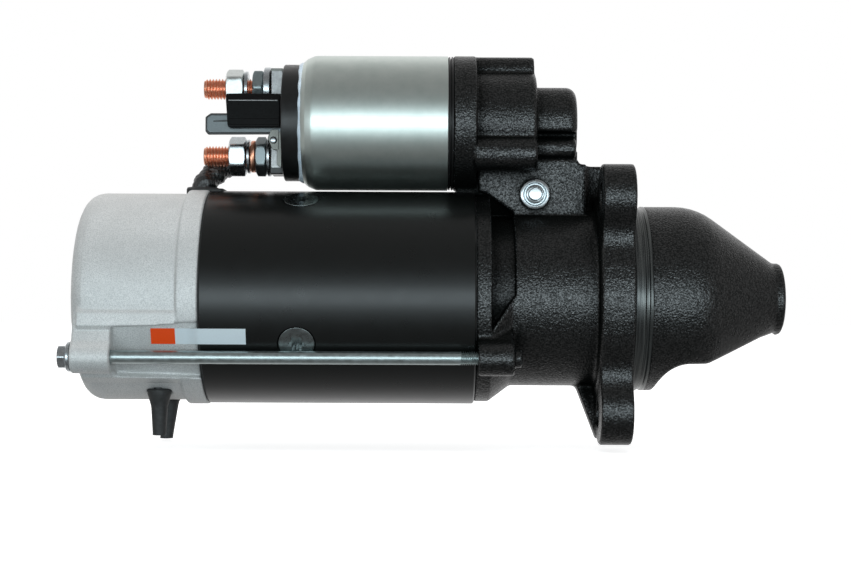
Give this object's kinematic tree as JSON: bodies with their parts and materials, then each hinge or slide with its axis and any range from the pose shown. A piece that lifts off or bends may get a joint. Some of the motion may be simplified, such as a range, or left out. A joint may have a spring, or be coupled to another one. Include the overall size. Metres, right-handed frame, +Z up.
{
  "type": "starter motor",
  "caption": "Heavy-duty gear-reduction starter motor with a flange-mounted drive end, enclosed nose and piggyback solenoid.",
  "frame": {"origin": "centre of the end cover's flat rear face, on the motor's own axis", "axes": "+X along the motor's axis out of the drive-end nose, +Z up to the solenoid, +Y away from the side that carries the control blade"},
  "size_m": [0.3387, 0.1293, 0.1872],
  "materials": {
    "black_cast_iron": "black paint over a grainy iron casting, with machined faces left bright",
    "black_paint": "smooth satin black paint on steel tube",
    "cast_aluminium": "pale speckled casting, unpainted",
    "bronze": "sintered bronze",
    "plain_steel": "plain steel, turned or pressed",
    "gear_steel": "hardened and ground steel",
    "zinc_steel": "bright zinc plating",
    "copper": "bare copper, slightly dulled",
    "carbon": "pressed copper carbon, matt",
    "black_plastic": "moulded thermoset with a soft gloss",
    "black_rubber": "moulded rubber and woven sleeve, matt"
  },
  "bodies": {
    "frame": {"drive_end_housing": "black_cast_iron", "yoke_tube": "black_paint", "commutator_end_cover": "cast_aluminium", "nose_bush": "bronze", "rear_bush": "bronze", "centre_plate": "plain_steel", "pole_shoe_1": "plain_steel", "pole_shoe_2": "plain_steel", "pole_shoe_3": "plain_steel", "pole_shoe_4": "plain_steel", "ring_gear": "gear_steel", "pole_screw_1": "zinc_steel", "pole_screw_2": "zinc_steel", "pole_screw_3": "zinc_steel", "pole_screw_4": "zinc_steel", "brush_plate": "zinc_steel", "through_bolt_1": "zinc_steel", "through_bolt_2": "zinc_steel", "battery_flat_washer": "zinc_steel", "battery_inner_nut": "zinc_steel", "battery_spring_washer": "zinc_steel", "battery_outer_nut": "zinc_steel", "motor_flat_washer": "zinc_steel", "motor_inner_nut": "zinc_steel", "motor_spring_washer": "zinc_steel", "motor_outer_nut": "zinc_steel", "pivot_bolt": "zinc_steel", "pivot_nut": "zinc_steel", "solenoid_case": "zinc_steel", "solenoid_screw_1": "zinc_steel", "solenoid_screw_2": "zinc_steel", "solenoid_screw_3": "zinc_steel", "control_terminal": "zinc_steel", "field_coils": "copper", "battery_stud": "copper", "motor_stud": "copper", "solenoid_coil": "copper", "brush_1": "carbon", "brush_2": "carbon", "brush_3": "carbon", "brush_4": "carbon", "solenoid_cap": "black_plastic", "terminal_hood": "black_plastic", "motor_cable": "black_rubber", "cable_grommet": "black_rubber", "drain_tube_1": "black_rubber", "drain_tube_2": "black_rubber"},
    "armature": {"armature_shaft": "gear_steel", "armature_core": "plain_steel", "commutator": "copper"},
    "carrier": {"output_shaft": "gear_steel"},
    "planet_1": {"planet_gear_1": "gear_steel"},
    "planet_2": {"planet_gear_2": "gear_steel"},
    "planet_3": {"planet_gear_3": "gear_steel"},
    "clutch": {"clutch_shell": "plain_steel"},
    "pinion": {"pinion": "gear_steel"},
    "lever": {"shift_lever": "plain_steel"},
    "plunger": {"plunger": "zinc_steel", "return_spring": "zinc_steel"},
    "contact": {"contact_disc": "copper"}
  },
  "joints": [
    {"name": "armature_spin", "type": "hinge", "parent": "frame", "child": "armature", "pos_m": [0.1, 0, 0], "axis": [1, 0, 0], "continuous": true},
    {"name": "carrier_spin", "type": "hinge", "parent": "frame", "child": "carrier", "pos_m": [0.2, 0, 0], "axis": [1, 0, 0], "continuous": true},
    {"name": "planet_1_spin", "type": "hinge", "parent": "carrier", "child": "planet_1", "pos_m": [0.16, 0, 0.0216], "axis": [1, 0, 0], "continuous": true},
    {"name": "planet_2_spin", "type": "hinge", "parent": "carrier", "child": "planet_2", "pos_m": [0.16, -0.01871, -0.0108], "axis": [1, 0, 0], "continuous": true},
    {"name": "planet_3_spin", "type": "hinge", "parent": "carrier", "child": "planet_3", "pos_m": [0.16, 0.01871, -0.0108], "axis": [1, 0, 0], "continuous": true},
    {"name": "clutch_slide", "type": "slide", "parent": "carrier", "child": "clutch", "axis": [1, 0, 0], "range_m": [0, 0.017]},
    {"name": "pinion_overrun", "type": "hinge", "parent": "clutch", "child": "pinion", "pos_m": [0.26, 0, 0], "axis": [1, 0, 0], "continuous": true},
    {"name": "lever_swing", "type": "hinge", "parent": "frame", "child": "lever", "pos_m": [0.2149, 0, 0.0494], "axis": [0, -1, 0], "range_deg": [0, 20]},
    {"name": "plunger_pull", "type": "slide", "parent": "frame", "child": "plunger", "axis": [-1, 0, 0], "range_m": [0, 0.012], "deforming": ["return_spring"]},
    {"name": "contact_travel", "type": "slide", "parent": "frame", "child": "contact", "axis": [-1, 0, 0], "range_m": [0, 0.0031]}
  ],
  "couplings": [
    {"joint": "carrier_spin", "follows": "armature_spin", "ratio": 0.22222},
    {"joint": "planet_1_spin", "follows": "armature_spin", "ratio": -0.62222},
    {"joint": "planet_2_spin", "follows": "armature_spin", "ratio": -0.62222},
    {"joint": "planet_3_spin", "follows": "armature_spin", "ratio": -0.62222},
    {"joint": "clutch_slide", "follows": "plunger_pull", "ratio": 1.4155},
    {"joint": "lever_swing", "follows": "plunger_pull", "rad_per_m": 28.653},
    {"joint": "contact_travel", "follows": "plunger_pull", "ratio": 0.25}
  ]
}
